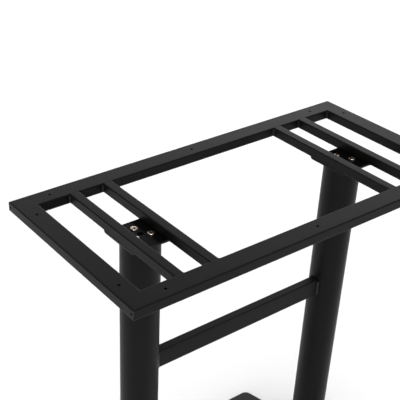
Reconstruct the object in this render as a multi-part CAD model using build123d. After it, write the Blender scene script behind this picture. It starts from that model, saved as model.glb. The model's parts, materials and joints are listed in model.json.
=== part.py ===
"""Bar table base: a welded tube frame on two round columns, with a stretcher and two cast feet.

X runs along the table, -Y is the front and Z is up. The origin is on the floor, midway between
the columns. Lengths are millimetres.
"""
import os
from math import cos, radians, sqrt

from build123d import *

# Whole base
BASE_HEIGHT = 1100.0
FRAME_LENGTH = 1020.0
FRAME_DEPTH = 503.0
COLUMN_INSET = 192.0  # frame end to column axis

# Frame tubes: flat rails round the outside, square bars across
RAIL_WIDTH = 50.0
BAR_WIDTH = 25.0
FRAME_HEIGHT = 25.0
TUBE_WALL = 2.0
TUBE_BEND = 1.0  # inside radius of every tube's corners

# Screw holes for the table top, and vent holes in the short rails' outer walls
TOP_HOLE_DIAMETER = 7.0
LONG_RAIL_HOLE_INSET = 94.0
SHORT_RAIL_HOLE_INSET = 86.5
VENT_DIAMETER = 6.0
VENT_INSET = 7.5

# Column screws: three on a circle, above and below
SCREW_DIAMETER = 10.0
SCREW_CIRCLE = 48.0
SCREW_COUNT = 3
SCREW_START_ANGLE = 90.0
SCREW_HOLE_CLEARANCE = 0.5  # radial, in plate and foot
THREAD_CLEARANCE = 0.1  # radial, in the tapped discs
SCREW_TIP_LENGTH = 1.0  # stands out past the disc
SOCKET_SIDES = 6

# Button heads on the plates
BUTTON_DIAMETER = 17.5
BUTTON_HEIGHT = 5.5
BUTTON_RIM = 1.2
BUTTON_BULGE = 0.6  # dome's middle, outwards and upwards from a straight cone
BUTTON_FLAT_DIAMETER = 9.0
BUTTON_SOCKET_WIDTH = 6.0
BUTTON_SOCKET_DEPTH = 3.0
BUTTON_TOOL_ROOM = 3.95  # head edge to bar

# Mounting plates under the bars
PLATE_LENGTH = 110.0
PLATE_THICKNESS = 5.0
CENTRE_HOLE_DIAMETER = 15.0

# Columns and the tapped discs welded into their ends
COLUMN_DIAMETER = 95.0
COLUMN_WALL = 2.5
DISC_THICKNESS = 10.0
DISC_CLEARANCE = 0.1

# Stretcher
STRETCHER_HEIGHT = 52.0
STRETCHER_WIDTH = 24.0
STRETCHER_DROP = 377.0  # top of frame to top of stretcher
COPE_CLEARANCE = 0.2  # radial, at the columns

# Weld beads
WELD_LEG = 5.0
WELD_CROWN = 0.62  # height of the bead's crown on the corner's bisector, as a share of its leg
STRETCHER_WELD_LEG = 6.0
PLATE_WELD_LAND = 0.5  # edge of a plate left clear below its welds
FLUSH_WELD_DIP = 0.15  # ground surface below the tops of bar and rail
FLUSH_WELD_GAP = 0.05  # to the rail's rounded edge

# Cast feet: arched on top and bowed at the sides, from tip to tip
FOOT_LENGTH = 658.0
FOOT_TIP_WIDTH = 102.0
FOOT_TIP_CORNER = 21.0
FOOT_TIP_FLANK = 6.0  # upright part of the tip's edge
FOOT_CROWN_HEIGHT = 47.0  # floor to the top of the arch
FOOT_EDGE_RADIUS = 5.0
FOOT_LAND = 3.5  # between the rounded edge and the seat's root
FOOT_WALL = 7.0
FOOT_RIB = 8.0
SEAT_MARGIN = 6.0  # seat's edge outside the column
SEAT_RISE = 5.0
SEAT_EDGE_RADIUS = 1.5
SEAT_ROOT_RADIUS = 3.0
SEAT_WALL_MATCH = 0.1  # an edge this close to the seat's wall counts as lying on it

# Foot screws, from below
CAP_DIAMETER = 16.0
CAP_HEIGHT = 10.0
CAP_SOCKET_WIDTH = 8.0
CAP_SOCKET_DEPTH = 5.0
CAP_ROOM = 1.0  # radial, in the counterbore
FOOT_SCREW_GRIP = 20.0  # casting under the column that the screws clamp

# Floor pads
PAD_DIAMETER = 34.0
PAD_HEIGHT = 4.0
PAD_EDGE = 1.0
PAD_INSET = 34.0  # foot tip to pad centre
PAD_BOSS_MARGIN = 3.0
PAD_STEM_DIAMETER = 8.0
PAD_STEM_LENGTH = 7.0
PAD_STEM_CLEARANCE = 0.1
PAD_STEM_END_GAP = 0.5

# Sizes worked out from the ones above
COLUMN_X = FRAME_LENGTH / 2 - COLUMN_INSET
COLUMN_RADIUS = COLUMN_DIAMETER / 2
RAIL_INNER_X = FRAME_LENGTH / 2 - RAIL_WIDTH
RAIL_INNER_Y = FRAME_DEPTH / 2 - RAIL_WIDTH
TUBE_CORNER = TUBE_WALL + TUBE_BEND
BAR_FLAT = BAR_WIDTH - 2 * TUBE_CORNER  # level part of a bar's face, between its rounded edges
FRAME_MIDDLE_Z = BASE_HEIGHT - FRAME_HEIGHT / 2
PLATE_TOP_Z = BASE_HEIGHT - FRAME_HEIGHT
COLUMN_TOP_Z = PLATE_TOP_Z - PLATE_THICKNESS
SEAT_Z = FOOT_CROWN_HEIGHT + SEAT_RISE
SEAT_RADIUS = COLUMN_RADIUS + SEAT_MARGIN
FOOT_MIDDLE_WIDTH = 2 * (SEAT_RADIUS + SEAT_ROOT_RADIUS + FOOT_LAND + FOOT_EDGE_RADIUS)
FOOT_TIP_HEIGHT = PAD_HEIGHT + FOOT_TIP_FLANK + FOOT_EDGE_RADIUS
STRETCHER_MIDDLE_Z = BASE_HEIGHT - STRETCHER_DROP - STRETCHER_HEIGHT / 2
SCREW_HOLE_RADIUS = SCREW_DIAMETER / 2 + SCREW_HOLE_CLEARANCE
SCREW_ANGLES = [SCREW_START_ANGLE + place * 360 / SCREW_COUNT for place in range(SCREW_COUNT)]
SCREW_REACH = SCREW_CIRCLE / 2 * max(abs(cos(radians(angle))) for angle in SCREW_ANGLES)
HEAD_REACH = SCREW_REACH + BUTTON_DIAMETER / 2  # column axis to the outermost head's edge, along X
BAR_OFFSET = HEAD_REACH + BUTTON_TOOL_ROOM + BAR_WIDTH / 2  # column axis to bar axis
PAD_Y = FOOT_LENGTH / 2 - PAD_INSET
SIDES = {"left": -1, "right": 1}
BAR_PLACES = [side * COLUMN_X + bar * BAR_OFFSET for side in SIDES.values() for bar in (-1, 1)]


def tube(width, height, length):
    """A straight tube along X, centred, with its width along Y."""
    bore = (width - 2 * TUBE_WALL, height - 2 * TUBE_WALL)
    section = RectangleRounded(width, height, TUBE_CORNER) - RectangleRounded(*bore, TUBE_BEND)
    return extrude(Plane.YZ * section, length / 2, both=True)


def screw_ring():
    """The places of the three screws round a column's axis."""
    return PolarLocations(SCREW_CIRCLE / 2, SCREW_COUNT, SCREW_START_ANGLE)


def hex_socket(width, depth):
    """A hexagon recess, measured across its flats and sunk below Z = 0."""
    return extrude(RegularPolygon(width / 2, SOCKET_SIDES, major_radius=False), -depth)


# Top frame

def mitred_rail(length, reach, hole_places):
    """A rail along X with its outer face at y = -reach, mitred at both ends, drilled for the top."""
    middle_y = -reach + RAIL_WIDTH / 2
    half = length / 2
    mitre = make_face(Polyline(
        (-half, -reach),
        (half, -reach),
        (half - RAIL_WIDTH, -reach + RAIL_WIDTH),
        (-half + RAIL_WIDTH, -reach + RAIL_WIDTH),
        close=True,
    ))
    rail = Pos(0, middle_y, FRAME_MIDDLE_Z) * tube(RAIL_WIDTH, FRAME_HEIGHT, length)
    rail &= Pos(0, 0, FRAME_MIDDLE_Z) * extrude(mitre, FRAME_HEIGHT, both=True)
    for x in hole_places:
        rail -= Pos(x, middle_y, FRAME_MIDDLE_Z) * Cylinder(TOP_HOLE_DIAMETER / 2, 2 * FRAME_HEIGHT)
    return rail


def long_rail():
    """The front rail, with three holes for the table top."""
    hole_x = FRAME_LENGTH / 2 - LONG_RAIL_HOLE_INSET
    return mitred_rail(FRAME_LENGTH, FRAME_DEPTH / 2, (-hole_x, 0, hole_x))


def short_rail():
    """A short rail, lying along X as the front rail does, with two top holes and two vent holes."""
    reach = FRAME_LENGTH / 2
    hole_x = FRAME_DEPTH / 2 - SHORT_RAIL_HOLE_INSET
    vent_x = FRAME_DEPTH / 2 - VENT_INSET
    rail = mitred_rail(FRAME_DEPTH, reach, (-hole_x, hole_x))
    for x in (-vent_x, vent_x):
        vent = Rot(90, 0, 0) * Cylinder(VENT_DIAMETER / 2, 2 * TUBE_WALL)
        rail -= Pos(x, -reach + TUBE_WALL / 2, FRAME_MIDDLE_Z) * vent
    return rail


def cross_bar(x):
    """A square bar between the long rails."""
    bar = Rot(0, 0, 90) * tube(BAR_WIDTH, FRAME_HEIGHT, 2 * RAIL_INNER_Y)
    return Pos(x, 0, FRAME_MIDDLE_Z) * bar


def mounting_plate(x):
    """The plate that joins two bars and sits on a column, its long edges flush with the bars."""
    width = 2 * BAR_OFFSET + BAR_WIDTH
    plate = Box(width, PLATE_LENGTH, PLATE_THICKNESS)
    plate -= Cylinder(CENTRE_HOLE_DIAMETER / 2, 2 * PLATE_THICKNESS)
    for place in screw_ring():
        plate -= place * Cylinder(SCREW_HOLE_RADIUS, 2 * PLATE_THICKNESS)
    return Pos(x, 0, PLATE_TOP_Z - PLATE_THICKNESS / 2) * plate


def bead_section(leg, bite):
    """A fillet weld's section: flat legs along -X and +Y, a crowned face, and a bite past the corner."""
    crown = leg * WELD_CROWN
    flats = Polyline((-leg, 0), (bite, 0), (bite, leg))
    face = ThreePointArc((bite, leg), (-crown, crown), (-leg, 0))
    return make_face(flats + face)


def frame_weld(x, y, turn):
    """An upright bead in an inside corner of the frame, turned a number of degrees about Z."""
    length = FRAME_HEIGHT - 2 * TUBE_CORNER
    bead = extrude(bead_section(WELD_LEG, 0), length / 2, both=True)
    return Pos(x, y, FRAME_MIDDLE_Z) * Rot(0, 0, turn) * bead


def frame_welds():
    """Beads in the four inner corners, and both sides of each bar's two ends."""
    right_walls = [RAIL_INNER_X] + [x - BAR_WIDTH / 2 for x in BAR_PLACES]
    left_walls = [-RAIL_INNER_X] + [x + BAR_WIDTH / 2 for x in BAR_PLACES]
    beads = []
    for x in right_walls:
        beads.append(frame_weld(x, -RAIL_INNER_Y, 0))
        beads.append(frame_weld(x, RAIL_INNER_Y, 90))
    for x in left_walls:
        beads.append(frame_weld(x, RAIL_INNER_Y, 180))
        beads.append(frame_weld(x, -RAIL_INNER_Y, 270))
    return Compound(beads)


def back_and_front(solid):
    """A solid at the back, and its mirror image at the front."""
    return [solid, mirror(solid, Plane.XZ)]


def plate_welds():
    """Lying beads where the ends of the plates meet the undersides of the bars, out to the corners."""
    length = BAR_WIDTH - TUBE_CORNER
    bead = extrude(bead_section(PLATE_THICKNESS - PLATE_WELD_LAND, 0), length / 2, both=True)
    beads = []
    for side in SIDES.values():
        for bar in (-1, 1):
            x = side * COLUMN_X + bar * (BAR_OFFSET + TUBE_CORNER / 2)
            corner = Plane((x, PLATE_LENGTH / 2, PLATE_TOP_Z), x_dir=(0, -1, 0), z_dir=(1, 0, 0))
            beads += back_and_front(corner * bead)
    return Compound(beads)


def flush_welds():
    """Fillings, ground level, between the bars' ends and the rounded edges of the long rails."""
    depth = TUBE_WALL - FLUSH_WELD_DIP
    filling = Pos(0, TUBE_CORNER / 2, -FLUSH_WELD_DIP - depth / 2) * Box(BAR_FLAT, TUBE_CORNER, depth)
    rail_edge = Rot(0, 90, 0) * Cylinder(TUBE_CORNER + FLUSH_WELD_GAP, BAR_WIDTH)
    filling -= Pos(0, TUBE_CORNER, -TUBE_CORNER) * rail_edge
    fillings = []
    for x in BAR_PLACES:
        fillings += back_and_front(Pos(x, RAIL_INNER_Y, BASE_HEIGHT) * filling)
    return Compound(fillings)


def plate_screw():
    """A button-head screw with its seat at Z = 0 and its shank below."""
    radius = BUTTON_DIAMETER / 2
    flat = BUTTON_FLAT_DIAMETER / 2
    shoulder = ((radius + flat) / 2 + BUTTON_BULGE, (BUTTON_HEIGHT + BUTTON_RIM) / 2 + BUTTON_BULGE)
    base = Polyline((0, BUTTON_HEIGHT), (0, 0), (radius, 0), (radius, BUTTON_RIM))
    dome = ThreePointArc((radius, BUTTON_RIM), shoulder, (flat, BUTTON_HEIGHT))
    crest = Line((flat, BUTTON_HEIGHT), (0, BUTTON_HEIGHT))
    head = revolve(Plane.XZ * make_face(base + dome + crest), Axis.Z)
    head -= Pos(0, 0, BUTTON_HEIGHT) * hex_socket(BUTTON_SOCKET_WIDTH, BUTTON_SOCKET_DEPTH)
    length = PLATE_THICKNESS + DISC_THICKNESS + SCREW_TIP_LENGTH
    return head + extrude(Circle(SCREW_DIAMETER / 2), -length)


def plate_screws(x):
    """The three screws through one plate."""
    screw = plate_screw()
    return Compound([Pos(x, 0, PLATE_TOP_Z) * place * screw for place in screw_ring()])


# Column frame

def column(x):
    """A round tube from its foot's seat up to the mounting plate."""
    wall = Circle(COLUMN_RADIUS) - Circle(COLUMN_RADIUS - COLUMN_WALL)
    return Pos(x, 0, SEAT_Z) * extrude(wall, COLUMN_TOP_Z - SEAT_Z)


def tapped_disc(x, low_z):
    """A disc inside a column's end, tapped for the screw ring."""
    disc = Circle(COLUMN_RADIUS - COLUMN_WALL - DISC_CLEARANCE) - Circle(CENTRE_HOLE_DIAMETER / 2)
    for place in screw_ring():
        disc -= place * Circle(SCREW_DIAMETER / 2 + THREAD_CLEARANCE)
    return Pos(x, 0, low_z) * extrude(disc, DISC_THICKNESS)


def column_cope():
    """The room that both columns take out of what is welded to them."""
    cut = Cylinder(COLUMN_RADIUS + COPE_CLEARANCE, 2 * STRETCHER_HEIGHT)
    return [Pos(side * COLUMN_X, 0, STRETCHER_MIDDLE_Z) * cut for side in SIDES.values()]


def stretcher():
    """The flat tube between the columns, its ends cut to their curve."""
    bar = Pos(0, 0, STRETCHER_MIDDLE_Z) * tube(STRETCHER_WIDTH, STRETCHER_HEIGHT, 2 * COLUMN_X)
    for cut in column_cope():
        bar -= cut
    return bar


def stretcher_welds():
    """An upright bead on each side of the stretcher at each column."""
    half_width = STRETCHER_WIDTH / 2
    corner_x = COLUMN_X - sqrt(COLUMN_RADIUS**2 - half_width**2)
    length = STRETCHER_HEIGHT - 2 * TUBE_CORNER
    bead = extrude(bead_section(STRETCHER_WELD_LEG, STRETCHER_WELD_LEG), length / 2, both=True)
    bead = Pos(corner_x, half_width, STRETCHER_MIDDLE_Z) * bead
    for cut in column_cope():
        bead -= cut
    pair = back_and_front(bead)
    return Compound(pair + [mirror(right, Plane.YZ) for right in pair])


# Feet

def foot_outline(inset):
    """The foot's plan, widest under the column, drawn in by an inset."""
    middle = FOOT_MIDDLE_WIDTH / 2
    tip = FOOT_TIP_WIDTH / 2
    reach = FOOT_LENGTH / 2
    bows = [
        ThreePointArc((side * tip, -reach), (side * middle, 0), (side * tip, reach))
        for side in (-1, 1)
    ]
    ends = [Line((-tip, end * reach), (tip, end * reach)) for end in (-1, 1)]
    plan = make_face(bows + ends)
    plan = fillet(plan.vertices(), FOOT_TIP_CORNER)
    return offset(plan, -inset) if inset else plan


def foot_form(inset):
    """The foot's outer form above the pads' height, or that form drawn in by a wall."""
    reach = FOOT_LENGTH / 2
    tip_z = FOOT_TIP_HEIGHT - inset
    arch = ThreePointArc((reach, tip_z), (0, FOOT_CROWN_HEIGHT - inset), (-reach, tip_z))
    base = Polyline((-reach, tip_z), (-reach, 0), (reach, 0), (reach, tip_z))
    slab = extrude(Plane.YZ * make_face(arch + base), FOOT_MIDDLE_WIDTH, both=True)
    plan = Pos(0, 0, PAD_HEIGHT) * foot_outline(inset)
    return extrude(plan, FOOT_CROWN_HEIGHT) & slab


def foot_pocket():
    """The hollow under the casting, round its hub, rib and pad bosses."""
    pocket = foot_form(FOOT_WALL)
    tall = 2 * FOOT_CROWN_HEIGHT
    pocket -= Cylinder(COLUMN_RADIUS, tall)
    pocket -= Box(FOOT_RIB, FOOT_LENGTH, tall)
    for y in (-PAD_Y, PAD_Y):
        pocket -= Pos(0, y, 0) * Cylinder(PAD_DIAMETER / 2 + PAD_BOSS_MARGIN, tall)
    return pocket


def lies_on_seat_wall(edge):
    """True for an edge that runs round the seat's wall."""
    start = edge.start_point()
    round_wall = abs(Vector(start.X, start.Y).length - SEAT_RADIUS) < SEAT_WALL_MATCH
    return round_wall and edge.geom_type != GeomType.LINE


def cast_body():
    """The outside of the casting: the arch with its rounded edge, and the seat rising out of it."""
    form = foot_form(0)
    arch_face = form.faces().sort_by(Axis.Z)[-1]
    form = fillet(arch_face.edges(), FOOT_EDGE_RADIUS)
    form += extrude(Pos(0, 0, PAD_HEIGHT) * Circle(SEAT_RADIUS), SEAT_Z - PAD_HEIGHT)
    seat_root = form.edges().filter_by(lies_on_seat_wall).sort_by(Axis.Z)[0]
    form = fillet(seat_root, SEAT_ROOT_RADIUS)
    seat_rim = form.edges().filter_by(lies_on_seat_wall).sort_by(Axis.Z)[-1]
    return fillet(seat_rim, SEAT_EDGE_RADIUS)


def foot():
    """One cast foot about its column's axis, with the column's seat, screw holes and pad holes."""
    body = cast_body() - foot_pocket()
    counterbore_z = SEAT_Z - FOOT_SCREW_GRIP
    for place in screw_ring():
        body -= place * extrude(Circle(SCREW_HOLE_RADIUS), SEAT_Z)
        body -= place * extrude(Circle(CAP_DIAMETER / 2 + CAP_ROOM), counterbore_z)
    stem_hole = Circle(PAD_STEM_DIAMETER / 2 + PAD_STEM_CLEARANCE)
    for y in (-PAD_Y, PAD_Y):
        body -= Pos(0, y, PAD_HEIGHT) * extrude(stem_hole, PAD_STEM_LENGTH + PAD_STEM_END_GAP)
    return body


def foot_screw():
    """A socket-head screw, head down, with its seat at Z = 0 and its shank above."""
    head = extrude(Circle(CAP_DIAMETER / 2), -CAP_HEIGHT)
    head -= Pos(0, 0, CAP_SOCKET_DEPTH - CAP_HEIGHT) * hex_socket(CAP_SOCKET_WIDTH, CAP_SOCKET_DEPTH)
    length = FOOT_SCREW_GRIP + DISC_THICKNESS + SCREW_TIP_LENGTH
    return head + extrude(Circle(SCREW_DIAMETER / 2), length)


def foot_screws(x):
    """The three screws from one foot up into its column."""
    screw = foot_screw()
    return Compound([Pos(x, 0, SEAT_Z - FOOT_SCREW_GRIP) * place * screw for place in screw_ring()])


def floor_pad(x, y):
    """A round pad with a stem pushed up into the foot."""
    pad = extrude(Circle(PAD_DIAMETER / 2), PAD_HEIGHT)
    pad = chamfer(pad.edges().group_by(Axis.Z)[0], PAD_EDGE)
    stem = Pos(0, 0, PAD_HEIGHT) * extrude(Circle(PAD_STEM_DIAMETER / 2), PAD_STEM_LENGTH)
    return Pos(x, y, 0) * (pad + stem)


def build():
    """Every piece of the base, by name."""
    front_rail = long_rail()
    side_rail = short_rail()
    casting = foot()
    pieces = {
        "frame_front_rail": front_rail,
        "frame_back_rail": Rot(0, 0, 180) * front_rail,
        "frame_left_rail": Rot(0, 0, -90) * side_rail,
        "frame_right_rail": Rot(0, 0, 90) * side_rail,
        "frame_welds": frame_welds(),
        "plate_welds": plate_welds(),
        "flush_welds": flush_welds(),
        "stretcher": stretcher(),
        "stretcher_welds": stretcher_welds(),
    }
    for name, side in SIDES.items():
        x = side * COLUMN_X
        pieces[f"{name}_outer_bar"] = cross_bar(x + side * BAR_OFFSET)
        pieces[f"{name}_inner_bar"] = cross_bar(x - side * BAR_OFFSET)
        pieces[f"{name}_mounting_plate"] = mounting_plate(x)
        pieces[f"{name}_plate_screws"] = plate_screws(x)
        pieces[f"{name}_column"] = column(x)
        pieces[f"{name}_top_disc"] = tapped_disc(x, COLUMN_TOP_Z - DISC_THICKNESS)
        pieces[f"{name}_bottom_disc"] = tapped_disc(x, SEAT_Z)
        pieces[f"{name}_foot"] = Pos(x, 0, 0) * casting
        pieces[f"{name}_foot_screws"] = foot_screws(x)
        pieces[f"{name}_front_pad"] = floor_pad(x, -PAD_Y)
        pieces[f"{name}_back_pad"] = floor_pad(x, PAD_Y)
    return pieces


if __name__ == "__main__":
    os.makedirs("parts", exist_ok=True)
    for piece_name, piece in build().items():
        export_step(piece, f"parts/{piece_name}.step")
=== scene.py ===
# %% [markdown]
# # A bar table base in satin black
#
# The object is a welded steel frame on two round columns, with a flat stretcher between them and two
# cast feet. The CAD model brings every solid piece in its true size and place. This lesson gives the
# pieces their finishes, and makes the small things that a plain solid lacks: ripples in the weld
# beads and crisp screws. All lengths are metres.

# %% Load the frame
import json
from math import atan2, cos, pi, radians, sin, sqrt

import bmesh
import bpy
from mathutils import Matrix, Vector


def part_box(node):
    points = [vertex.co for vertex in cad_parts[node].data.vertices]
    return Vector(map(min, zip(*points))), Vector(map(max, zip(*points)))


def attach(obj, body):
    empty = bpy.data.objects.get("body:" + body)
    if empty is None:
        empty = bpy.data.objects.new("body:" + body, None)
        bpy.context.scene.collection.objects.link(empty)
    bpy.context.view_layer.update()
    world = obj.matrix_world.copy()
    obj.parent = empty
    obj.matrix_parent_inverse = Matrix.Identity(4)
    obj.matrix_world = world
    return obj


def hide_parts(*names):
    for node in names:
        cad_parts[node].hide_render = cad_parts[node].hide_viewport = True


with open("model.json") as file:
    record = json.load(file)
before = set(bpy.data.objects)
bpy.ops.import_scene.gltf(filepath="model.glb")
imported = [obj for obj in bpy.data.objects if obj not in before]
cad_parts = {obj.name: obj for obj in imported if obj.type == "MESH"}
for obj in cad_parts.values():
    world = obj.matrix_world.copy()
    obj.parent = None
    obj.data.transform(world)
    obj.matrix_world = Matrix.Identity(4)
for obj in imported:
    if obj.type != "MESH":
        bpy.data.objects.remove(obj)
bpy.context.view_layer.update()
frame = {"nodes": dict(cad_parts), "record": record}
nodes = frame["nodes"]

# %% [markdown]
# ## The camera
#
# The picture was cut out of a larger one, so the camera's own axis doesn't meet it in the middle. A
# camera that is simply aimed at the picture's middle gives the columns the wrong lean. The lens shift
# moves the picture instead, and keeps the perspective of the real camera.

# %% Place the camera
PICTURE_SIDE = 400.0  # pixels
FOCAL_LENGTH = 893.6  # pixels
AXIS_PIXEL = (152.0, 236.6)  # where the camera's axis meets the picture
SENSOR_WIDTH = 36.0  # millimetres
CAMERA_PLACE = (-1.2850, -1.3690, 2.1294)
CAMERA_TURN = 36.12  # degrees from +Y towards +X
CAMERA_TILT = 32.34  # degrees below the horizon
CAMERA_ROLL = 0.912  # degrees

camera_data = bpy.data.cameras.new("camera")
camera_data.sensor_width = SENSOR_WIDTH
camera_data.lens = FOCAL_LENGTH / PICTURE_SIDE * SENSOR_WIDTH
camera_data.shift_x = 0.5 - AXIS_PIXEL[0] / PICTURE_SIDE
camera_data.shift_y = AXIS_PIXEL[1] / PICTURE_SIDE - 0.5
camera = bpy.data.objects.new("camera", camera_data)
turn = Matrix.Rotation(radians(-CAMERA_TURN), 4, "Z")
tilt = Matrix.Rotation(radians(90 - CAMERA_TILT), 4, "X")
roll = Matrix.Rotation(radians(CAMERA_ROLL), 4, "Z")
camera.matrix_world = Matrix.Translation(CAMERA_PLACE) @ turn @ tilt @ roll
bpy.context.scene.collection.objects.link(camera)
bpy.context.scene.camera = camera
print("lens", round(camera_data.lens, 2), "mm")
print("lens shift", round(camera_data.shift_x, 3), round(camera_data.shift_y, 3))

# %% [markdown]
# ## Small helpers for node trees
#
# Materials and Geometry Nodes are both trees of nodes. Three short helpers keep the lines that build
# them readable. The first adds a node, sets its options and fills its input sockets, each with a value
# or with a link from another node's output. The second does one sum, and the third starts a material.

# %% Node helpers
def add_node(tree, kind, inputs=None, **options):
    """A new node, with its options set and its input sockets filled or linked."""
    node = tree.nodes.new(kind)
    for option, value in options.items():
        setattr(node, option, value)
    for socket, value in (inputs or {}).items():
        if isinstance(value, bpy.types.NodeSocket):
            tree.links.new(value, node.inputs[socket])
        else:
            node.inputs[socket].default_value = value
    return node


def math_node(tree, operation, *values):
    """The output of one sum."""
    return add_node(tree, "ShaderNodeMath", dict(enumerate(values)), operation=operation).outputs[0]


def new_material(name):
    """A material with its node tree and its main shader."""
    material = bpy.data.materials.new(name)
    material.use_nodes = True
    return material, material.node_tree, material.node_tree.nodes["Principled BSDF"]


# %% [markdown]
# ## The floor
#
# The base stands on a plain pale floor. One square is enough, as long as it is wide and so rough that it
# mirrors nothing. The light burns it out to white.

# %% Floor
FLOOR_REACH = 30.0
FLOOR_SHADE = 0.86
FLOOR_ROUGHNESS = 0.9

floor_mesh = bpy.data.meshes.new("floor")
corners = [(FLOOR_REACH * x, FLOOR_REACH * y, 0) for x, y in ((-1, -1), (1, -1), (1, 1), (-1, 1))]
floor_mesh.from_pydata(corners, [], [(0, 1, 2, 3)])
floor = bpy.data.objects.new("floor", floor_mesh)
bpy.context.scene.collection.objects.link(floor)
floor_paint, _, floor_shader = new_material("pale_floor")
floor_shader.inputs["Base Color"].default_value = (FLOOR_SHADE, FLOOR_SHADE, FLOOR_SHADE, 1)
floor_shader.inputs["Roughness"].default_value = FLOOR_ROUGHNESS
floor_mesh.materials.append(floor_paint)
print("floor:", 2 * FLOOR_REACH, "m wide")

# %% [markdown]
# ## The world
#
# The world is pale at the horizon, which closes the room behind the object in every low view, and dims
# higher up, so that the frame's top faces stay dark. Its Generated coordinates are directions of length
# 1, so their Z is the height on a sky of that radius.

# %% World
HORIZON_STRENGTH = 0.95
OVERHEAD_STRENGTH = 0.25
SKY_FADE = (0.05, 0.40)  # the heights between which the sky dims

world = bpy.data.worlds.new("studio")
world.use_nodes = True
sky = world.node_tree
background = sky.nodes["Background"].inputs
background["Color"].default_value = (1, 1, 1, 1)
direction = add_node(sky, "ShaderNodeTexCoord").outputs["Generated"]
fade = add_node(sky, "ShaderNodeMapRange", {
    "Value": add_node(sky, "ShaderNodeSeparateXYZ", {"Vector": direction}).outputs["Z"],
    "From Min": SKY_FADE[0],
    "From Max": SKY_FADE[1],
    "To Min": HORIZON_STRENGTH,
    "To Max": OVERHEAD_STRENGTH,
}, interpolation_type="SMOOTHSTEP")
sky.links.new(fade.outputs[0], background["Strength"])
bpy.context.scene.world = world
bpy.context.scene.view_settings.view_transform = "Standard"
print("sky strength from", HORIZON_STRENGTH, "to", OVERHEAD_STRENGTH)

# %% [markdown]
# ## Soft lights
#
# Black paint shows almost nothing but reflections, so what each face looks out on decides how it reads:
#
# - a light wider than the floor hangs high above, points straight down and whitens the floor all round;
#   its spread is narrow, so from the camera's place it doesn't show in the frame's top faces
# - the upright faces mirror only that floor, because the camera looks down on them, and so the columns
#   and outer faces come out an even dark grey
# - four broad panels stand far out, two behind and two in front, and give the top faces their sheen,
#   which grows towards the panels

# %% Soft lights
FLOOR_LIGHT_PLACE = (0.0, 0.0, 10.0)
FLOOR_LIGHT_AIM = (0.0, 0.0, 0.0)
FLOOR_LIGHT_SIZE = 68.0
FLOOR_LIGHT_POWER = 10900.0  # watts
FLOOR_LIGHT_SPREAD = 30.0  # degrees
PANELS = {
    "back_panel": {"place": (2.7, 5.6, 2.4), "power": 48.0},
    "right_panel": {"place": (5.4, 3.6, 2.4), "power": 66.0},
    "front_panel": {"place": (-2.7, -5.6, 2.4), "power": 48.0},
    "left_panel": {"place": (-5.4, -3.6, 2.4), "power": 66.0},
}
PANEL_AIM = (0.0, 0.0, 1.1)
PANEL_SIZE = 3.6
PANEL_SPREAD = 180.0  # degrees


def soft_light(name, place, aim, size, power, spread):
    """A square light panel turned towards a point; a narrow spread works like a grid in front of it."""
    data = bpy.data.lights.new(name, "AREA")
    data.size = size
    data.energy = power
    data.spread = radians(spread)
    light = bpy.data.objects.new(name, data)
    light.location = place
    light.rotation_euler = (Vector(aim) - Vector(place)).to_track_quat("-Z", "Y").to_euler()
    bpy.context.scene.collection.objects.link(light)


soft_light(
    "floor_light", FLOOR_LIGHT_PLACE, FLOOR_LIGHT_AIM,
    FLOOR_LIGHT_SIZE, FLOOR_LIGHT_POWER, FLOOR_LIGHT_SPREAD,
)
for name, panel in PANELS.items():
    soft_light(name, panel["place"], PANEL_AIM, PANEL_SIZE, panel["power"], PANEL_SPREAD)
print("lights:", len(bpy.data.lights))

# %% [markdown]
# ## Where a point lies in the frame
#
# At the frame's corners two tubes are cut at 45 degrees, welded, and ground flush before coating. The
# joint still shows as a faint line, painted lighter: partly the ground edge under a thin coat, partly a
# painted highlight. It lies where a point is as far in from the frame's end as from its side, so two
# absolute values and a difference find it, with no extra geometry.
#
# The inside of a tube is painted near black and dull, as painted shade for a dark recess. A point's
# depth below the nearest outer wall tells skin from inside, and the rails' screw holes and vents turn
# black there with that painted shade.

# %% Places in the frame
SEAM_HALF_WIDTH = 0.0016
HOLE_SHADE_DEPTHS = (0.0009, 0.0013)  # where the painted shade inside the tubes sets in, as depths below a wall's outer face

frame_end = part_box("frame_right_rail")[1].x
frame_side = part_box("frame_back_rail")[1].y
rail_low, rail_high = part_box("frame_back_rail")
rail_width = rail_high.y - rail_low.y
print("rails:", round(1000 * rail_width, 1), "mm wide")


def from_edges(tree, place):
    """How far a point lies in from the frame's ends and from its sides, and its height."""
    split = add_node(tree, "ShaderNodeSeparateXYZ", {"Vector": place}).outputs
    from_end = math_node(tree, "SUBTRACT", frame_end, math_node(tree, "ABSOLUTE", split["X"]))
    from_side = math_node(tree, "SUBTRACT", frame_side, math_node(tree, "ABSOLUTE", split["Y"]))
    return from_end, from_side, split["Z"]


def inside_rails(tree, place):
    """1 inside the rails' tubes and 0 on their skin."""
    from_end, from_side, height = from_edges(tree, place)
    from_outer = math_node(tree, "MINIMUM", from_end, from_side)
    from_inner = math_node(tree, "SUBTRACT", rail_width, from_outer)
    from_top = math_node(tree, "SUBTRACT", rail_high.z, height)
    from_bottom = math_node(tree, "SUBTRACT", height, rail_low.z)
    level_depth = math_node(tree, "MINIMUM", from_outer, from_inner)
    upright_depth = math_node(tree, "MINIMUM", from_top, from_bottom)
    depth = math_node(tree, "MINIMUM", level_depth, upright_depth)
    limits = {"Value": depth, "From Min": HOLE_SHADE_DEPTHS[0], "From Max": HOLE_SHADE_DEPTHS[1]}
    return add_node(tree, "ShaderNodeMapRange", limits, interpolation_type="SMOOTHSTEP").outputs[0]


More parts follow.
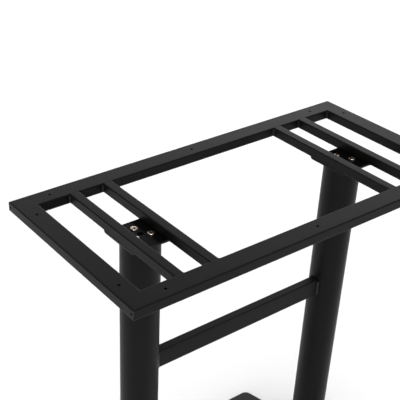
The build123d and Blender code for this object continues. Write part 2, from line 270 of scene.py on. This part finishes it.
def mitre_seam(tree, place):
    """1 on the frame's mitre lines, falling to 0 beside them."""
    from_end, from_side, _ = from_edges(tree, place)
    gap = math_node(tree, "ABSOLUTE", math_node(tree, "SUBTRACT", from_end, from_side))
    edge = SEAM_HALF_WIDTH * sqrt(2)  # the gap grows that much faster than the distance from the line
    limits = {"Value": gap, "From Min": 0.0, "From Max": edge, "To Min": 1.0, "To Max": 0.0}
    return add_node(tree, "ShaderNodeMapRange", limits, interpolation_type="SMOOTHSTEP").outputs[0]


# %% [markdown]
# ## Black powder coat
#
# Powder is sprayed on dry and baked, and it flows out into a satin skin with a fine orange-peel grain.
# A flat black would look like a hole. Noise on Object coordinates gives the grain, because those
# coordinates are metres and the grain then has its real size on every tube. A second, much wider noise
# lets the sheen drift a little along the tubes, as a sprayed coat does.

# %% Powder coat
COAT_COLOUR = (0.0038, 0.0038, 0.0039)
COAT_DRIFT = 1.35  # the lighter patches, as a factor on the colour
COAT_ROUGHNESS = (0.36, 0.46)
COAT_SPECULAR = 0.10
COAT_GRAIN = 0.0016
COAT_GRAIN_DEPTH = 0.00003
COAT_DRIFT_SIZE = 0.12
GRAIN_DETAIL = 2.0  # levels of finer noise in a grain
DRIFT_DETAIL = 3.0  # and in wide, soft patches
SEAM_HEIGHT = 0.00008
SEAM_EDGE_AND_HIGHLIGHT_COLOUR = (0.008, 0.008, 0.008)  # the ground edge under a thin coat, lightened further as a painted highlight
# painted shade: near black for the inside of the tubes and the depth of their holes
HOLE_SHADE_COLOUR = (0.0004, 0.0004, 0.0004)


def noise(tree, place, size, detail):
    """Noise whose lumps are about a given size, in metres."""
    inputs = {"Vector": place, "Scale": 1 / size, "Detail": detail}
    return add_node(tree, "ShaderNodeTexNoise", inputs).outputs[0]


def coat(
    name, colour, grain, grain_depth,
    roughness=COAT_ROUGHNESS, specular=COAT_SPECULAR, frame_rails=False,
):
    """Black over steel or iron, with a grain of a given size and depth, and satin unless told otherwise.

    Only the coat of the frame's rails has mitre lines, painted partly lighter, and painted shade inside
    its tubes.
    """
    material, tree, shader = new_material(name)
    shader.inputs["Specular IOR Level"].default_value = specular
    place = add_node(tree, "ShaderNodeTexCoord").outputs["Object"]
    drift = noise(tree, place, COAT_DRIFT_SIZE, DRIFT_DETAIL)
    shades = add_node(tree, "ShaderNodeValToRGB", {"Fac": drift})
    shades.color_ramp.elements[0].color = (*colour, 1)
    shades.color_ramp.elements[1].color = (*[COAT_DRIFT * x for x in colour], 1)
    sheen = {"Value": drift, "To Min": roughness[0], "To Max": roughness[1]}
    dullness = add_node(tree, "ShaderNodeMapRange", sheen).outputs[0]
    peel = {"Height": noise(tree, place, grain, GRAIN_DETAIL), "Distance": grain_depth}
    paint = shades.outputs[0]
    if frame_rails:
        # painted shade: the inside of the tubes turns near black and fully rough
        hole_shade_mask = inside_rails(tree, place)
        dullness = math_node(tree, "MAXIMUM", dullness, hole_shade_mask)
        seam = mitre_seam(tree, place)
        ridge = {"Height": seam, "Distance": SEAM_HEIGHT}
        peel["Normal"] = add_node(tree, "ShaderNodeBump", ridge).outputs[0]
        # the mitre line is painted lighter: partly the ground edge, partly a painted highlight
        seam_edge_and_highlight = {"Fac": seam, "Color1": paint, "Color2": (*SEAM_EDGE_AND_HIGHLIGHT_COLOUR, 1)}
        paint = add_node(tree, "ShaderNodeMixRGB", seam_edge_and_highlight).outputs[0]
        # the painted shade inside the tubes is mixed into the colour here
        hole_shaded = {"Fac": hole_shade_mask, "Color1": paint, "Color2": (*HOLE_SHADE_COLOUR, 1)}
        paint = add_node(tree, "ShaderNodeMixRGB", hole_shaded).outputs[0]
    tree.links.new(paint, shader.inputs["Base Color"])
    tree.links.new(dullness, shader.inputs["Roughness"])
    tree.links.new(add_node(tree, "ShaderNodeBump", peel).outputs[0], shader.inputs["Normal"])
    return material


tube_coat = coat("tube_coat", COAT_COLOUR, COAT_GRAIN, COAT_GRAIN_DEPTH)
rail_coat = coat("rail_coat", COAT_COLOUR, COAT_GRAIN, COAT_GRAIN_DEPTH, frame_rails=True)
print("powder coat: grain", COAT_GRAIN * 1000, "mm")

# %% [markdown]
# ## The cast feet's coat
#
# Under the feet's coat lies cast iron, which keeps the grain of the sand it was poured in. The same
# recipe as for the tubes does it, with a coarser and deeper grain.

# %% Cast foot
CAST_COLOUR = (0.0080, 0.0080, 0.0081)
CAST_GRAIN = 0.004
CAST_GRAIN_DEPTH = 0.00012

foot_coat = coat("foot_coat", CAST_COLOUR, CAST_GRAIN, CAST_GRAIN_DEPTH)
print("cast grain", CAST_GRAIN * 1000, "mm")

# %% [markdown]
# ## Bare metals and rubber
#
# The screws are the only bright pieces. Their zinc is slightly warm and nearly a mirror, softened by
# fine turning marks. Their sockets are painted near black and dull: painted shade for the narrow hole,
# built with the recipe of the coats. Plain steel, for the hidden discs and the foot screws, is greyer
# and duller. The floor pads are matte rubber with a faint mottle.

# %% Zinc, steel and rubber
METAL_MARK_SIZE = 0.0009
ZINC_COLOUR = (0.95, 0.82, 0.70)
ZINC_ROUGHNESS = (0.13, 0.23)
ZINC_MARK_DEPTH = 0.000004
# painted shade: the sockets' near-black colour stands in for the dark of a narrow hole
SOCKET_SHADE_COLOUR = (0.010, 0.007, 0.005)
SOCKET_ROUGHNESS = (0.60, 0.75)
SOCKET_SPECULAR = 0.04
SOCKET_MARK_DEPTH = 0.00001
STEEL_COLOUR = (0.34, 0.34, 0.35)
STEEL_ROUGHNESS = (0.34, 0.50)
STEEL_MARK_DEPTH = 0.00001
RUBBER_COLOUR = (0.012, 0.012, 0.012)
RUBBER_ROUGHNESS = (0.70, 0.90)
RUBBER_MOTTLE = 0.003
RUBBER_MOTTLE_DEPTH = 0.00005


def metal(name, colour, roughness, mark_depth):
    """An unpainted metal with fine marks, and a sheen that varies between two roughnesses."""
    material, tree, shader = new_material(name)
    place = add_node(tree, "ShaderNodeTexCoord").outputs["Object"]
    marks = noise(tree, place, METAL_MARK_SIZE, GRAIN_DETAIL)
    sheen = {"Value": marks, "To Min": roughness[0], "To Max": roughness[1]}
    bump = {"Height": marks, "Distance": mark_depth}
    shader.inputs["Base Color"].default_value = (*colour, 1)
    shader.inputs["Metallic"].default_value = 1.0
    tree.links.new(add_node(tree, "ShaderNodeMapRange", sheen).outputs[0], shader.inputs["Roughness"])
    tree.links.new(add_node(tree, "ShaderNodeBump", bump).outputs[0], shader.inputs["Normal"])
    return material


def rubber(name, colour, roughness, mottle_depth):
    """Matte rubber with a faint mottle."""
    material, tree, shader = new_material(name)
    place = add_node(tree, "ShaderNodeTexCoord").outputs["Object"]
    mottle = noise(tree, place, RUBBER_MOTTLE, DRIFT_DETAIL)
    sheen = {"Value": mottle, "To Min": roughness[0], "To Max": roughness[1]}
    bump = {"Height": mottle, "Distance": mottle_depth}
    shader.inputs["Base Color"].default_value = (*colour, 1)
    tree.links.new(add_node(tree, "ShaderNodeMapRange", sheen).outputs[0], shader.inputs["Roughness"])
    tree.links.new(add_node(tree, "ShaderNodeBump", bump).outputs[0], shader.inputs["Normal"])
    return material


bright_zinc = metal("bright_zinc", ZINC_COLOUR, ZINC_ROUGHNESS, ZINC_MARK_DEPTH)
painted_socket_shade = coat(
    "painted_socket_shade", SOCKET_SHADE_COLOUR, METAL_MARK_SIZE, SOCKET_MARK_DEPTH,
    SOCKET_ROUGHNESS, SOCKET_SPECULAR,
)
plain_steel = metal("plain_steel", STEEL_COLOUR, STEEL_ROUGHNESS, STEEL_MARK_DEPTH)
pad_rubber = rubber("pad_rubber", RUBBER_COLOUR, RUBBER_ROUGHNESS, RUBBER_MOTTLE_DEPTH)
print("materials:", [m.name for m in bpy.data.materials])

# %% [markdown]
# ## Dress the CAD pieces
#
# The record says which slot each CAD piece belongs to, so the finishes can be given out from there.
# The four frame rails take the coat with mitre seams, the two plates a smoother one, and all other
# powder-coated pieces the plain one. The plates are cut from flat sheet, and the coat lies on them like
# a dark mirror: it shows the bright room where the view out is free, and turns black beside a bar. The
# plates' colour is darker than the tubes', as painted shade for their place between the bars; the beads
# under the bars share it.

# %% Give every CAD piece its finish
# darker than the tubes' coat: painted shade for the plates between the bars
PLATE_SHADE_COLOUR = (0.0015, 0.0015, 0.0015)
PLATE_ROUGHNESS = (0.14, 0.22)
PLATE_SPECULAR = 0.14

plate_coat_and_shade = coat(
    "plate_coat_and_shade", PLATE_SHADE_COLOUR, COAT_GRAIN, COAT_GRAIN_DEPTH, PLATE_ROUGHNESS, PLATE_SPECULAR,
)
FINISHES = {
    "black_powder_coat": tube_coat,
    "black_cast_foot": foot_coat,
    "bright_zinc": bright_zinc,
    "plain_steel": plain_steel,
    "pad_rubber": pad_rubber,
}
SPECIAL_FINISHES = {"_rail": rail_coat, "_mounting_plate": plate_coat_and_shade}  # by the end of a node's name

for subpart in frame["record"]["subparts"]:
    finish = FINISHES[subpart["material_slot"]]
    for ending, special in SPECIAL_FINISHES.items():
        if subpart["node"].endswith(ending):
            finish = special
    materials = nodes[subpart["node"]].data.materials
    materials.clear()
    materials.append(finish)

# %% [markdown]
# ## A helper that runs a Geometry Nodes tree
#
# A tree sits on an object as a modifier. Its inputs are set through their identifiers, and the result
# is then turned into a plain mesh, so the finished piece carries no modifier.
#
# The node for random numbers has a set of sockets for each type of number, all with the same names. The
# sockets for a plain number are therefore picked by their place.

# %% Geometry Nodes helpers
RANDOM_LEAST = 2  # places of the sockets for a plain number
RANDOM_GREATEST = 3
RANDOM_RESULT = 1


def random_number(tree, seed, least, greatest):
    """A random number between two others."""
    inputs = {"Seed": seed, RANDOM_LEAST: least, RANDOM_GREATEST: greatest}
    return add_node(tree, "FunctionNodeRandomValue", inputs, data_type="FLOAT").outputs[RANDOM_RESULT]


def new_tree(name, inputs):
    """A tree with named inputs, and the nodes at its two ends."""
    tree = bpy.data.node_groups.new(name, "GeometryNodeTree")
    tree.interface.new_socket("Geometry", in_out="INPUT", socket_type="NodeSocketGeometry")
    for label, kind in inputs.items():
        tree.interface.new_socket(label, in_out="INPUT", socket_type="NodeSocket" + kind)
    tree.interface.new_socket("Geometry", in_out="OUTPUT", socket_type="NodeSocketGeometry")
    return tree, add_node(tree, "NodeGroupInput").outputs, add_node(tree, "NodeGroupOutput").inputs


def grow(name, points, tree, values, turns=None):
    """A piece at the origin: the tree's result on some points, as a plain mesh."""
    mesh = bpy.data.meshes.new(name)
    mesh.from_pydata(points, [], [])
    if turns:
        turn_data = mesh.attributes.new("turn", "FLOAT_VECTOR", "POINT").data
        turn_data.foreach_set("vector", [angle for turn in turns for angle in turn])
    piece = bpy.data.objects.new(name, mesh)
    bpy.context.scene.collection.objects.link(piece)
    modifier = piece.modifiers.new(tree.name, "NODES")
    modifier.node_group = tree
    for socket in tree.interface.items_tree:
        if socket.in_out == "INPUT" and socket.name in values:
            modifier[socket.identifier] = values[socket.name]
    evaluated = piece.evaluated_get(bpy.context.evaluated_depsgraph_get())
    result = bpy.data.meshes.new_from_object(evaluated)
    piece.modifiers.clear()
    piece.data = result
    result.name = name
    print(name, "triangles:", sum(len(p.vertices) - 2 for p in result.polygons))
    return piece


# %% [markdown]
# ## Weld beads
#
# A weld bead is a row of small overlapping pools, frozen one after another. Modelling each ripple by
# hand would be slow, and a texture would leave the bead's outline straight. So a tree sweeps a wedge
# of a circle along a line and lets its radius swell once for each ripple. The wedge's point sits in
# the corner that the bead fills, and its two straight sides lie on the walls. The radius closes at
# both ends, as a bead does where the arc starts and stops.
#
# Every point carries its own turn, so one tree can make upright beads and lying ones.
#
# Powder flows out smooth on a bead's round back, so the beads are a little glossier than the tubes and
# stand out as light streaks in the dark corners.

# %% The weld bead tree
BEAD_STEPS = 90  # points along a bead
BEAD_END_POWER = 12.0  # the higher, the later a bead starts to close towards its ends
WEDGE_POINTS = 9
BEAD_SIZES = (0.90, 1.0)  # each bead is scaled by a random number between these
BEAD_COLOUR = (0.005, 0.005, 0.005)
BEAD_ROUGHNESS = (0.25, 0.35)
BEAD_SPECULAR = 0.25


def bead_tree():
    """A rippled bead on every point, turned as the point says."""
    tree, given, result = new_tree("rippled bead", {
        "Length": "Float",
        "Radius": "Float",
        "Corner Angle": "Float",
        "Ripple Pitch": "Float",
        "Ripple Depth": "Float",
        "Seed": "Int",
        "Finish": "Material",
    })
    half = math_node(tree, "MULTIPLY", given["Length"], 0.5)
    low = add_node(tree, "ShaderNodeCombineXYZ", {"Z": math_node(tree, "MULTIPLY", half, -1.0)})
    high = add_node(tree, "ShaderNodeCombineXYZ", {"Z": half})
    ends = {"Start": low.outputs[0], "End": high.outputs[0]}
    line = add_node(tree, "GeometryNodeCurvePrimitiveLine", ends)
    line = add_node(tree, "GeometryNodeResampleCurve", {"Curve": line.outputs[0], "Count": BEAD_STEPS})
    along = add_node(tree, "GeometryNodeSplineParameter").outputs
    phase = math_node(tree, "DIVIDE", along["Length"], given["Ripple Pitch"])
    wave = math_node(tree, "ABSOLUTE", math_node(tree, "SINE", math_node(tree, "MULTIPLY", phase, pi)))
    dip = math_node(tree, "MULTIPLY", math_node(tree, "SUBTRACT", 1.0, wave), given["Ripple Depth"])
    centred = math_node(tree, "MULTIPLY_ADD", along["Factor"], 2.0, -1.0)
    near_end = math_node(tree, "POWER", math_node(tree, "ABSOLUTE", centred), BEAD_END_POWER)
    closing = math_node(tree, "SUBTRACT", 1.0, near_end)
    swell = math_node(tree, "MULTIPLY", math_node(tree, "SUBTRACT", 1.0, dip), closing)
    line = add_node(tree, "GeometryNodeSetCurveRadius", {"Curve": line.outputs[0], "Radius": swell})
    start = math_node(tree, "MULTIPLY", given["Corner Angle"], -0.5)
    wedge = add_node(tree, "GeometryNodeCurveArc", {
        "Resolution": WEDGE_POINTS,
        "Radius": given["Radius"],
        "Start Angle": start,
        "Sweep Angle": given["Corner Angle"],
        "Connect Center": True,
    })
    bead = add_node(tree, "GeometryNodeCurveToMesh", {
        "Curve": line.outputs[0],
        "Profile Curve": wedge.outputs[0],
        "Fill Caps": True,
    })
    turn = add_node(tree, "GeometryNodeInputNamedAttribute", {"Name": "turn"}, data_type="FLOAT_VECTOR")
    placed = add_node(tree, "GeometryNodeInstanceOnPoints", {
        "Points": given["Geometry"],
        "Instance": bead.outputs[0],
        "Rotation": add_node(tree, "FunctionNodeEulerToRotation", {"Euler": turn.outputs[0]}).outputs[0],
        "Scale": random_number(tree, given["Seed"], *BEAD_SIZES),
    })
    solid = add_node(tree, "GeometryNodeRealizeInstances", {"Geometry": placed.outputs[0]})
    smooth = add_node(tree, "GeometryNodeSetShadeSmooth", {"Geometry": solid.outputs[0]})
    finished = add_node(tree, "GeometryNodeSetMaterial", {
        "Geometry": smooth.outputs[0],
        "Material": given["Finish"],
    })
    tree.links.new(finished.outputs[0], result["Geometry"])
    return tree


def bead_turn(facing, along):
    """The turn that sets a bead's outward side and its length in two directions."""
    outward = Vector(facing).normalized()
    length = Vector(along).normalized()
    return Matrix((outward, length.cross(outward), length)).transposed().to_euler()


bead_coat = coat(
    "bead_coat", BEAD_COLOUR, COAT_GRAIN, COAT_GRAIN_DEPTH, BEAD_ROUGHNESS, BEAD_SPECULAR,
)
rippled_bead = bead_tree()
print("bead tree nodes:", len(rippled_bead.nodes))

# %% [markdown]
# ### Beads in the top frame
#
# The frame has a bead in each inner corner, and one on both sides of every cross bar where it meets a
# long rail. All these places are known from the boxes of the CAD pieces. A bead faces away from the
# two walls it joins, along the diagonal between them.

# %% Beads in the top frame
FRAME_BEAD_RADIUS = 0.0046
TUBE_CORNER = 0.003  # the rounding of the tubes' edges, where a bead stops
RIPPLE_PITCH = 0.0021
RIPPLE_DEPTH = 0.16  # as a share of the bead's radius
FRAME_BEAD_SEED = 3
RIGHT_ANGLE = pi / 2
UPRIGHT = (0, 0, 1)
BARS = ("left_outer_bar", "left_inner_bar", "right_inner_bar", "right_outer_bar")

bar_low, bar_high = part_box(BARS[0])
frame_middle = (bar_low.z + bar_high.z) / 2
walls_on_right = [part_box("frame_right_rail")[0].x] + [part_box(bar)[0].x for bar in BARS]
walls_on_left = [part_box("frame_left_rail")[1].x] + [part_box(bar)[1].x for bar in BARS]
bead_places = []
bead_turns = []
for y, inwards in ((bar_low.y, 1), (bar_high.y, -1)):
    for x_list, away in ((walls_on_right, -1), (walls_on_left, 1)):
        for x in x_list:
            bead_places.append((x, y, frame_middle))
            bead_turns.append(bead_turn((away, inwards, 0), UPRIGHT))

frame_beads = grow("frame_weld_beads", bead_places, rippled_bead, {
    "Length": bar_high.z - bar_low.z - 2 * TUBE_CORNER,
    "Radius": FRAME_BEAD_RADIUS,
    "Corner Angle": RIGHT_ANGLE,
    "Ripple Pitch": RIPPLE_PITCH,
    "Ripple Depth": RIPPLE_DEPTH,
    "Seed": FRAME_BEAD_SEED,
    "Finish": bead_coat,
}, bead_turns)
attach(frame_beads, "root")
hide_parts("frame_welds")
print("frame beads:", len(bead_places))

# %% [markdown]
# ### Beads under the bars
#
# Each mounting plate hangs under two bars, welded along its front and back ends. These beads lie level
# below the bars and run out to the plate's corners, where they show as a small rounded step.

# %% Beads under the bars
PLATE_BEAD_RADIUS = 0.0045
PLATE_BEAD_SEED = 6

bead_length = bar_high.x - bar_low.x - TUBE_CORNER
bead_places = []
bead_turns = []
for plate in ("left_mounting_plate", "right_mounting_plate"):
    low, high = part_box(plate)
    for x in (low.x + bead_length / 2, high.x - bead_length / 2):
        for y, outwards in ((low.y, -1), (high.y, 1)):
            bead_places.append((x, y, high.z))
            bead_turns.append(bead_turn((0, outwards, -1), (1, 0, 0)))

plate_beads = grow("plate_weld_beads", bead_places, rippled_bead, {
    "Length": bead_length,
    "Radius": PLATE_BEAD_RADIUS,
    "Corner Angle": RIGHT_ANGLE,
    "Ripple Pitch": RIPPLE_PITCH,
    "Ripple Depth": RIPPLE_DEPTH,
    "Seed": PLATE_BEAD_SEED,
    "Finish": plate_coat_and_shade,
}, bead_turns)
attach(plate_beads, "root")
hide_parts("plate_welds")
print("plate beads:", len(bead_places))

# %% [markdown]
# ### Beads at the stretcher
#
# The stretcher's flat side meets the round column at more than a right angle. That angle follows from
# the column's radius and half the stretcher's width, and the wedge is opened by a few degrees more so
# that its side stays in touch with the curved wall.

# %% Beads at the stretcher
STRETCHER_BEAD_RADIUS = 0.0056
STRETCHER_BEAD_SEED = 5
CURVE_ALLOWANCE = radians(5)

column_low, column_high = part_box("right_column")
column_radius = (column_high.x - column_low.x) / 2
column_x = (column_high.x + column_low.x) / 2
stretcher_low, stretcher_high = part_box("stretcher")
half_width = stretcher_high.y
corner_x = column_x - sqrt(column_radius**2 - half_width**2)
lean = atan2(half_width, column_x - corner_x)
corner_angle = RIGHT_ANGLE + lean
stretcher_middle = (stretcher_low.z + stretcher_high.z) / 2
outward_angle = pi - corner_angle / 2
bead_places = []
bead_turns = []
for side in (-1, 1):
    for front in (-1, 1):
        bead_places.append((side * corner_x, front * half_width, stretcher_middle))
        bead_turns.append(bead_turn((side * cos(outward_angle), front * sin(outward_angle), 0), UPRIGHT))

stretcher_beads = grow("stretcher_weld_beads", bead_places, rippled_bead, {
    "Length": stretcher_high.z - stretcher_low.z - 2 * TUBE_CORNER,
    "Radius": STRETCHER_BEAD_RADIUS,
    "Corner Angle": corner_angle + CURVE_ALLOWANCE,
    "Ripple Pitch": RIPPLE_PITCH,
    "Ripple Depth": RIPPLE_DEPTH,
    "Seed": STRETCHER_BEAD_SEED,
    "Finish": bead_coat,
}, bead_turns)
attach(stretcher_beads, "root")
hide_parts("stretcher_welds")
print("stretcher corner angle:", round(corner_angle * 180 / pi, 1), "degrees")

# %% [markdown]
# ## Screws
#
# Three flat-headed screws hold each column to its plate, and three cap screws hold each foot. A screw
# is round, so it is built as a stack of rings of points joined by faces. A ring can also be a hexagon,
# which makes the socket, or have a wavy edge, which makes the grip on a cap screw's head. The faces
# inside the socket carry a mark, so that they can take their own painted shade later.

# %% Build a screw from rings
SIDES_OF_HEX = 6
SHARP_ANGLE = radians(32)  # steeper edges between two faces stay crisp


def circle(radius):
    """A round ring's radius, the same at every angle."""
    return lambda angle: radius


def hexagon(across_flats):
    """A hexagon's radius at an angle."""
    step = 2 * pi / SIDES_OF_HEX
    return lambda angle: across_flats / 2 / cos((angle + step / 2) % step - step / 2)


def wavy(radius, waves, depth):
    """A ring with a gripping edge, its crests at the given radius."""
    return lambda angle: radius - depth * (1 - cos(waves * angle)) / 2


def ring_solid(name, segments, rings, socket_band):
    """A closed mesh through rings of (height, radius rule), closed by a point at both ends.

    The socket's walls are the band of faces with the given number, and its floor is next to them.
    """
    body = bmesh.new()
    in_socket = body.faces.layers.bool.new("socket")
    angles = [2 * pi * i / segments for i in range(segments)]
    loops = [
        [body.verts.new((rule(a) * cos(a), rule(a) * sin(a), z)) for a in angles]
        for z, rule in rings
    ]
    for band, (lower, upper) in enumerate(zip(loops, loops[1:])):
        for i in range(segments):
            j = (i + 1) % segments
            face = body.faces.new((lower[i], lower[j], upper[j], upper[i]))
            face[in_socket] = band == socket_band
    for ring, band in ((0, 0), (len(rings) - 1, len(rings) - 2)):
        tip = body.verts.new((0, 0, rings[ring][0]))
        for i in range(segments):
            face = body.faces.new((loops[ring][i], loops[ring][(i + 1) % segments], tip))
            face[in_socket] = band == socket_band
    bmesh.ops.recalc_face_normals(body, faces=body.faces)
    mesh = bpy.data.meshes.new(name)
    body.to_mesh(mesh)
    body.free()
    mesh.shade_smooth()
    mesh.set_sharp_from_angle(angle=SHARP_ANGLE)
    return bpy.data.objects.new(name, mesh)


# %% [markdown]
# ### The flat head
#
# The head is a low disc with a rounded rim and a hexagon socket in its flat top. Such a top is a small
# mirror: it is bright where it looks out over the bars, and dark where a bar stands in the way. That is
# why the same screw looks so different from place to place. The solid in the CAD model has a taller,
# domed head; this one stays inside its space.

# %% Flat-headed screw
SHANK_RADIUS = 0.005
SHANK_CHAMFER = 0.0008
HEAD_RADIUS = 0.00875
HEAD_HEIGHT = 0.003
HEAD_ROUNDING = 0.0009
HEAD_SOCKET = 0.006
HEAD_SOCKET_DEPTH = 0.0035
SOCKET_CHAMFER = 0.0003
RIM_RINGS = 5
HEAD_SEGMENTS = 48

screws_low, screws_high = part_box("left_plate_screws")
plate_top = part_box("left_mounting_plate")[1].z
screw_shank = plate_top - screws_low.z
rim = []
for i in range(RIM_RINGS):
    angle = i / (RIM_RINGS - 1) * RIGHT_ANGLE
    radius = HEAD_RADIUS - HEAD_ROUNDING * (1 - cos(angle))
    rim.append((HEAD_HEIGHT - HEAD_ROUNDING * (1 - sin(angle)), circle(radius)))
flat_rings = [
    (-screw_shank, circle(SHANK_RADIUS - SHANK_CHAMFER)),
    (SHANK_CHAMFER - screw_shank, circle(SHANK_RADIUS)),
    (0.0, circle(SHANK_RADIUS)),
    (0.0, circle(HEAD_RADIUS)),
    *rim,
    (HEAD_HEIGHT, hexagon(HEAD_SOCKET + 2 * SOCKET_CHAMFER)),
    (HEAD_HEIGHT - SOCKET_CHAMFER, hexagon(HEAD_SOCKET)),
    (HEAD_HEIGHT - HEAD_SOCKET_DEPTH, hexagon(HEAD_SOCKET)),
]
flat_screw = ring_solid("flat_screw", HEAD_SEGMENTS, flat_rings, len(flat_rings) - 2)
print("flat screw length", round(1000 * (screw_shank + HEAD_HEIGHT), 1), "mm")

# %% [markdown]
# ### A ring of screws on each column
#
# One tree serves both kinds of screw. It puts a circle of points on every column's axis and a screw on
# each point. A random turn keeps the sockets from lining up, because nobody tightens three screws to
# the same angle. The seed is fixed, so the result is the same each time. The tree ends with two
# materials: a finish for the whole screw, then painted shade for the faces marked as its socket.

# %% The screw ring tree
def screw_ring_tree():
    """The same screw, several times round every point."""
    tree, given, result = new_tree("screw ring", {
        "Screw": "Object",
        "Ring Radius": "Float",
        "Screw Count": "Int",
        "First Angle": "Float",
        "Seed": "Int",
        "Finish": "Material",
        "Socket Shade": "Material",
    })
    circle_points = add_node(tree, "GeometryNodeMeshCircle", {
        "Vertices": given["Screw Count"],
        "Radius": given["Ring Radius"],
    })
    first = add_node(tree, "ShaderNodeCombineXYZ", {"Z": given["First Angle"]}).outputs[0]
    turned = add_node(tree, "GeometryNodeTransform", {
        "Geometry": circle_points.outputs[0],
        "Rotation": first,
    })
    rings = add_node(tree, "GeometryNodeInstanceOnPoints", {
        "Points": given["Geometry"],
        "Instance": turned.outputs[0],
    })
    places = add_node(tree, "GeometryNodeRealizeInstances", {"Geometry": rings.outputs[0]})
    angle = random_number(tree, given["Seed"], 0.0, 2 * pi / SIDES_OF_HEX)
    spin = add_node(tree, "ShaderNodeCombineXYZ", {"Z": angle}).outputs[0]
    screw = add_node(tree, "GeometryNodeObjectInfo", {"Object": given["Screw"]}).outputs["Geometry"]
    placed = add_node(tree, "GeometryNodeInstanceOnPoints", {
        "Points": places.outputs[0],
        "Instance": screw,
        "Rotation": add_node(tree, "FunctionNodeEulerToRotation", {"Euler": spin}).outputs[0],
    })
    solid = add_node(tree, "GeometryNodeRealizeInstances", {"Geometry": placed.outputs[0]})
    plated = add_node(tree, "GeometryNodeSetMaterial", {
        "Geometry": solid.outputs[0],
        "Material": given["Finish"],
    })
    # the faces marked as the socket get the painted shade
    in_socket = add_node(tree, "GeometryNodeInputNamedAttribute", {"Name": "socket"}, data_type="BOOLEAN")
    finished = add_node(tree, "GeometryNodeSetMaterial", {
        "Geometry": plated.outputs[0],
        "Selection": in_socket.outputs[0],
        "Material": given["Socket Shade"],
    })
    tree.links.new(finished.outputs[0], result["Geometry"])
    return tree


screw_ring = screw_ring_tree()
print("screw ring tree nodes:", len(screw_ring.nodes))

# %% [markdown]
# ### Screws on the plates
#
# The tree's points are the columns' axes, at the height of the plates' tops. The rings' radius follows
# from the box of the CAD screws, which ends at the edge of a head.

# %% Screws on the plates
SCREW_COUNT = 3
FIRST_SCREW_ANGLE = RIGHT_ANGLE  # one screw at the back
PLATE_SCREW_SEED = 4

ring_radius = screws_high.y - HEAD_RADIUS
plate_screws = grow("plate_screws", [(side * column_x, 0, plate_top) for side in (-1, 1)], screw_ring, {
    "Screw": flat_screw,
    "Ring Radius": ring_radius,
    "Screw Count": SCREW_COUNT,
    "First Angle": FIRST_SCREW_ANGLE,
    "Seed": PLATE_SCREW_SEED,
    "Finish": bright_zinc,
    "Socket Shade": painted_socket_shade,
})
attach(plate_screws, "root")
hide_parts("left_plate_screws", "right_plate_screws")
print("screw ring radius", round(1000 * ring_radius, 1), "mm")

# %% [markdown]
# ### Cap screws in the feet
#
# These come up from below, so the screw is built head down. The head's wavy edge is the grip that
# such heads are rolled with. They show only from underneath, in the feet's counterbores.

# %% Cap screws in the feet
CAP_RADIUS = 0.008
CAP_HEIGHT = 0.010
CAP_CHAMFER = 0.0008
CAP_GRIP_WAVES = 32
CAP_GRIP_DEPTH = 0.0004
CAP_SOCKET = 0.008
CAP_SOCKET_DEPTH = 0.005
POINTS_PER_WAVE = 3
FOOT_SCREW_SEED = 8

foot_screws_low, foot_screws_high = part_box("left_foot_screws")
cap_seat = foot_screws_low.z + CAP_HEIGHT
cap_shank = foot_screws_high.z - cap_seat
grip = wavy(CAP_RADIUS, CAP_GRIP_WAVES, CAP_GRIP_DEPTH)
cap_rings = [
    (CAP_SOCKET_DEPTH - CAP_HEIGHT, hexagon(CAP_SOCKET)),
    (SOCKET_CHAMFER - CAP_HEIGHT, hexagon(CAP_SOCKET)),
    (-CAP_HEIGHT, hexagon(CAP_SOCKET + 2 * SOCKET_CHAMFER)),
    (-CAP_HEIGHT, circle(CAP_RADIUS - CAP_CHAMFER)),
    (CAP_CHAMFER - CAP_HEIGHT, grip),
    (-CAP_CHAMFER, grip),
    (0.0, circle(CAP_RADIUS - CAP_CHAMFER)),
    (0.0, circle(SHANK_RADIUS)),
    (cap_shank - SHANK_CHAMFER, circle(SHANK_RADIUS)),
    (cap_shank, circle(SHANK_RADIUS - SHANK_CHAMFER)),
]
cap_screw = ring_solid("cap_screw", POINTS_PER_WAVE * CAP_GRIP_WAVES, cap_rings, 0)
foot_screws = grow("foot_screws", [(side * column_x, 0, cap_seat) for side in (-1, 1)], screw_ring, {
    "Screw": cap_screw,
    "Ring Radius": ring_radius,
    "Screw Count": SCREW_COUNT,
    "First Angle": FIRST_SCREW_ANGLE,
    "Seed": FOOT_SCREW_SEED,
    "Finish": plain_steel,
    "Socket Shade": painted_socket_shade,
})
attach(foot_screws, "root")
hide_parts("left_foot_screws", "right_foot_screws")
